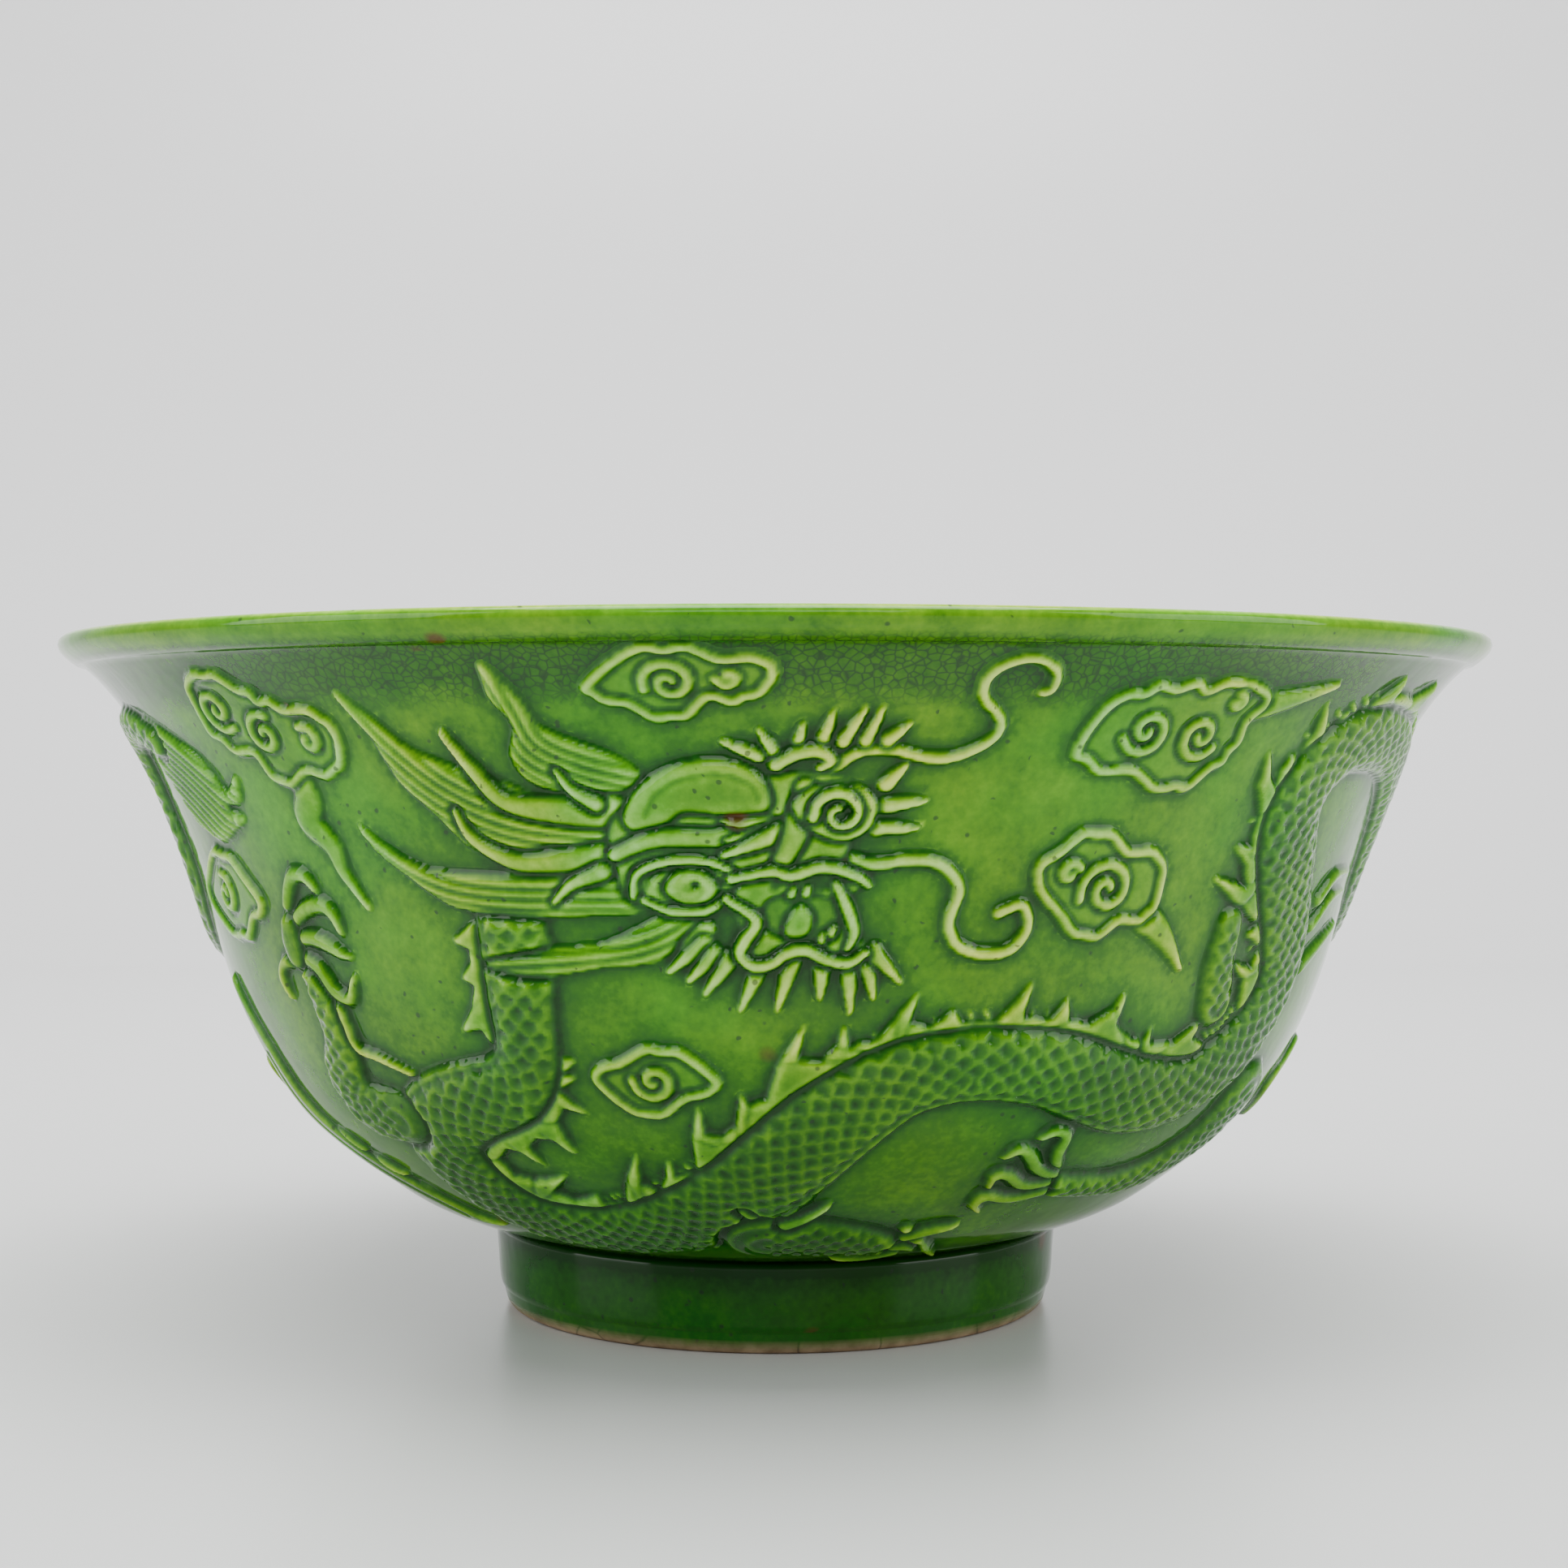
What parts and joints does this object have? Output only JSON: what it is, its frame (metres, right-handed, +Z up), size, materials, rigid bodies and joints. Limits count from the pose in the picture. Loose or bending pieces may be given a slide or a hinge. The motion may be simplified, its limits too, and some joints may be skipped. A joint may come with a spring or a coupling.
{
  "type": "footed bowl with moulded relief",
  "caption": "Deep round-walled porcelain bowl on a foot ring, with a raised dragon-and-cloud relief turning round the outside and a plain hollow inside",
  "frame": {"origin": "Centre of the foot ring's resting face, on the table plane", "axes": "+Z up along the bowl's axis, -Y towards the front, where the first dragon's head is, +X to the right"},
  "size_m": [0.18, 0.18, 0.0847],
  "materials": {
    "wall_glaze": "fired porcelain under a thick transparent green glaze, very glossy",
    "foot_glaze": "fired porcelain under dark pooled green glaze, bare buff clay on the resting edge",
    "relief_glaze": "fired porcelain under green glaze, paler on the ridges where the glaze thins"
  },
  "bodies": {
    "root": {"bowl_wall": "wall_glaze", "first_beard_and_brows": "relief_glaze", "first_coil": "relief_glaze", "first_head": "relief_glaze", "first_horns": "relief_glaze", "first_left_foreleg": "relief_glaze", "first_left_high_cloud": "relief_glaze", "first_left_hind_leg": "relief_glaze", "first_low_cloud": "relief_glaze", "first_mane": "relief_glaze", "first_middle_body": "relief_glaze", "first_middle_fin": "relief_glaze", "first_neck": "relief_glaze", "first_neck_fins": "relief_glaze", "first_rear_body": "relief_glaze", "first_rear_fin": "relief_glaze", "first_rear_high_cloud": "relief_glaze", "first_rear_low_cloud": "relief_glaze", "first_right_foreleg": "relief_glaze", "first_right_high_cloud": "relief_glaze", "first_right_hind_leg": "relief_glaze", "first_right_middle_cloud": "relief_glaze", "first_side_cloud": "relief_glaze", "first_streamer_cloud": "relief_glaze", "first_tail": "relief_glaze", "first_tail_base": "relief_glaze", "first_tail_tuft": "relief_glaze", "first_top_cloud": "relief_glaze", "first_whiskers": "relief_glaze", "foot_ring": "foot_glaze", "second_beard_and_brows": "relief_glaze", "second_coil": "relief_glaze", "second_head": "relief_glaze", "second_horns": "relief_glaze", "second_left_foreleg": "relief_glaze", "second_left_high_cloud": "relief_glaze", "second_left_hind_leg": "relief_glaze", "second_low_cloud": "relief_glaze", "second_mane": "relief_glaze", "second_middle_body": "relief_glaze", "second_middle_fin": "relief_glaze", "second_neck": "relief_glaze", "second_neck_fins": "relief_glaze", "second_rear_body": "relief_glaze", "second_rear_fin": "relief_glaze", "second_rear_high_cloud": "relief_glaze", "second_rear_low_cloud": "relief_glaze", "second_right_foreleg": "relief_glaze", "second_right_high_cloud": "relief_glaze", "second_right_hind_leg": "relief_glaze", "second_right_middle_cloud": "relief_glaze", "second_side_cloud": "relief_glaze", "second_streamer_cloud": "relief_glaze", "second_tail": "relief_glaze", "second_tail_base": "relief_glaze", "second_tail_tuft": "relief_glaze", "second_top_cloud": "relief_glaze", "second_whiskers": "relief_glaze"}
  },
  "joints": []
}
